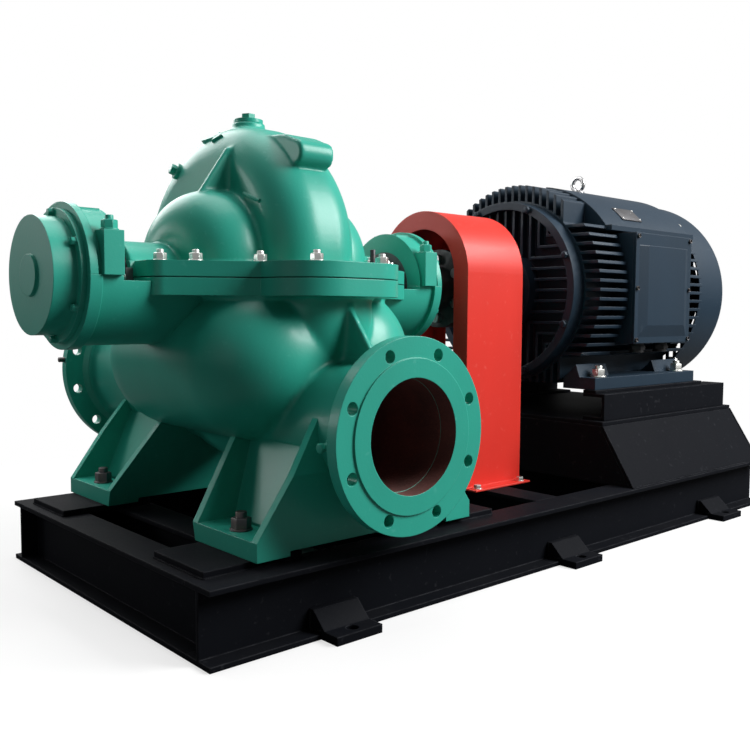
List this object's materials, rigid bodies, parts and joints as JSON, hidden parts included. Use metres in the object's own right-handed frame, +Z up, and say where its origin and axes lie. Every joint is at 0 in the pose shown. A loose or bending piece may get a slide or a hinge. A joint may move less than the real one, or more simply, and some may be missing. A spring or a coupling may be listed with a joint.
{
  "type": "horizontal split case pump set",
  "caption": "Double suction split case water pump coupled to a finned electric motor, with a red coupling guard, on a black beam base frame.",
  "frame": {"origin": "centre of the base frame's underside, on its middle cross beam, under the shaft line", "axes": "+X along the shaft from the pump to the motor, +Y to the suction side, +Z up"},
  "size_m": [1.956, 1.01, 0.946],
  "materials": {
    "pump_paint": "satin",
    "frame_paint": "satin",
    "motor_paint": "satin",
    "guard_paint": "satin",
    "bright_steel": "satin",
    "bare_iron": "matte",
    "black_plastic": "matte"
  },
  "bodies": {
    "stand": {"base_front_beam": "frame_paint", "base_back_beam": "frame_paint", "base_pump_end_beam": "frame_paint", "base_motor_end_beam": "frame_paint", "base_cross_beams": "frame_paint", "anchor_lugs": "frame_paint", "pump_sole_plates": "frame_paint", "pedestal_front_plate": "frame_paint", "pedestal_back_plate": "frame_paint", "pedestal_pump_end_plate": "frame_paint", "pedestal_motor_end_plate": "frame_paint", "pedestal_top_plate": "frame_paint", "motor_rails": "frame_paint", "motor_shims": "frame_paint", "lower_casing": "pump_paint", "discharge_nozzle": "pump_paint", "suction_nozzle": "pump_paint", "pump_legs": "pump_paint", "bearing_brackets": "pump_paint", "upper_casing": "pump_paint", "vent_plug": "pump_paint", "far_bearing_cap": "pump_paint", "drive_bearing_cap": "pump_paint", "far_end_cover": "pump_paint", "drive_end_cover": "pump_paint", "far_bearing": "bright_steel", "drive_bearing": "bright_steel", "far_gland": "bare_iron", "drive_gland": "bare_iron", "coupling_guard": "guard_paint", "motor_frame": "motor_paint", "motor_feet": "motor_paint", "motor_drive_shield": "motor_paint", "motor_bearing_cap": "motor_paint", "motor_far_shield": "motor_paint", "fan_cowl": "motor_paint", "terminal_box": "motor_paint", "terminal_box_lid": "motor_paint", "cable_glands": "black_plastic", "eye_bolt": "bright_steel"},
    "rotor": {"pump_shaft": "bright_steel", "slinger_rings": "pump_paint", "coupling_pump_half": "bare_iron", "coupling_motor_half": "bare_iron", "coupling_pins_set": "bright_steel", "motor_shaft": "bright_steel", "motor_fan": "black_plastic"}
  },
  "joints": [
    {"name": "shaft_spin", "type": "hinge", "parent": "stand", "child": "rotor", "pos_m": [0, 0, 0.6], "axis": [1, 0, 0], "continuous": true}
  ]
}
